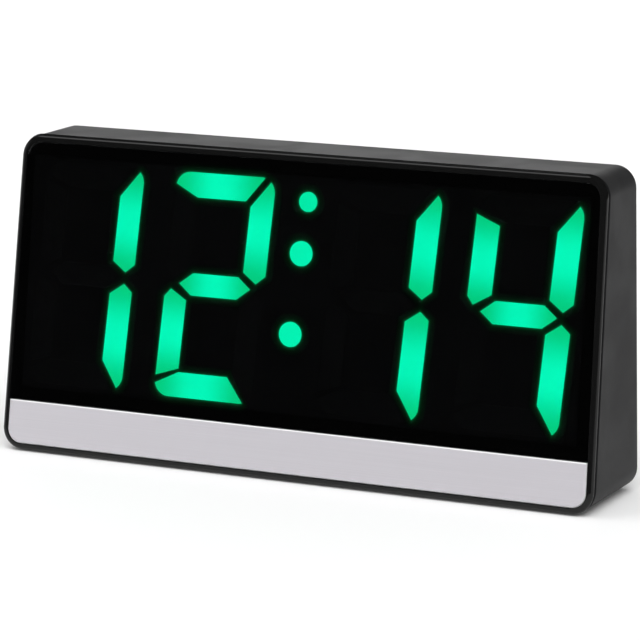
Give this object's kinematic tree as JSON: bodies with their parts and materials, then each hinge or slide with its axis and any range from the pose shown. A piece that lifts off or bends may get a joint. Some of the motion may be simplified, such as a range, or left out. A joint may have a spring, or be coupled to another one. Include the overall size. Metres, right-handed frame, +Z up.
{
  "type": "digital desk clock",
  "caption": "Digital LED desk clock: black wedge-shaped case, smoked window over slanted green digits, silver strip below, and a battery door and set buttons on the back.",
  "frame": {"origin": "on the table, under the middle of the clock's box", "axes": "+X to the right seen from the front, +Y towards the back, +Z up"},
  "size_m": [0.2168, 0.0413, 0.1069],
  "materials": {
    "case_plastic": "fine-textured black moulding",
    "bezel_plastic": "polished black moulding",
    "smoked_window": "glossy smoked acrylic",
    "brushed_strip": "finely brushed with bright bevels",
    "reflector_plastic": "black moulding",
    "segment_lit": "glowing diffuser",
    "segment_dark": "unlit smoked diffuser",
    "circuit_board": "green solder mask",
    "led_body": "white chip with a yellow face",
    "chip_body": "moulded chip package",
    "can_metal": "nickel-plated can",
    "screw_steel": "zinc-plated",
    "contact_metal": "nickel-plated strip",
    "cell_sleeve": "plain metal sleeve",
    "foot_rubber": "soft matt rubber",
    "button_plastic": "satin black moulding",
    "switch_body": "black switch body",
    "plunger_plastic": "pale nylon",
    "socket_shell": "stamped steel",
    "ribbon_sheath": "grey ribbon",
    "lead_red": "red insulation",
    "lead_black": "black insulation"
  },
  "bodies": {
    "clock_body": {"rear_housing": "case_plastic", "front_bezel": "bezel_plastic", "front_lens": "smoked_window", "trim_strip": "brushed_strip", "display_reflector": "reflector_plastic", "hour_tens_lit": "segment_lit", "hour_tens_dark": "segment_dark", "hour_units_lit": "segment_lit", "hour_units_dark": "segment_dark", "minute_tens_lit": "segment_lit", "minute_tens_dark": "segment_dark", "minute_units_lit": "segment_lit", "minute_units_dark": "segment_dark", "colon_dots": "segment_lit", "indicator_dot": "segment_lit", "display_board": "circuit_board", "led_chips": "led_body", "clock_chip": "chip_body", "timing_crystal": "can_metal", "display_screws": "screw_steel", "case_screws": "screw_steel", "control_screws": "screw_steel", "control_board": "circuit_board", "tact_switches": "switch_body", "slide_switch": "can_metal", "power_socket": "socket_shell", "buzzer": "chip_body", "ribbon_cable": "ribbon_sheath", "positive_lead": "lead_red", "negative_lead": "lead_black", "battery_cells": "cell_sleeve", "positive_contacts": "contact_metal", "spring_contacts": "contact_metal", "rubber_feet": "foot_rubber"},
    "battery_door": {"battery_door": "case_plastic"},
    "slide_knob": {"slide_knob": "button_plastic"},
    "set_button": {"set_button": "button_plastic", "set_plunger": "plunger_plastic"},
    "up_button": {"up_button": "button_plastic", "up_plunger": "plunger_plastic"},
    "down_button": {"down_button": "button_plastic", "down_plunger": "plunger_plastic"},
    "alarm_button": {"alarm_button": "button_plastic", "alarm_plunger": "plunger_plastic"}
  },
  "joints": [
    {"name": "battery_door_hinge", "type": "hinge", "parent": "clock_body", "child": "battery_door", "pos_m": [0, 0.02075, 0.0083], "axis": [-1, 0, 0], "range_deg": [0, 60]},
    {"name": "slide_knob_slide", "type": "slide", "parent": "clock_body", "child": "slide_knob", "axis": [1, 0, 0], "range_m": [0, 0.003]},
    {"name": "set_button_press", "type": "slide", "parent": "clock_body", "child": "set_button", "axis": [0, -1, 0], "range_m": [0, 0.0005], "stiffness_N_per_m": 400},
    {"name": "up_button_press", "type": "slide", "parent": "clock_body", "child": "up_button", "axis": [0, -1, 0], "range_m": [0, 0.0005], "stiffness_N_per_m": 400},
    {"name": "down_button_press", "type": "slide", "parent": "clock_body", "child": "down_button", "axis": [0, -1, 0], "range_m": [0, 0.0005], "stiffness_N_per_m": 400},
    {"name": "alarm_button_press", "type": "slide", "parent": "clock_body", "child": "alarm_button", "axis": [0, -1, 0], "range_m": [0, 0.0005], "stiffness_N_per_m": 400}
  ]
}
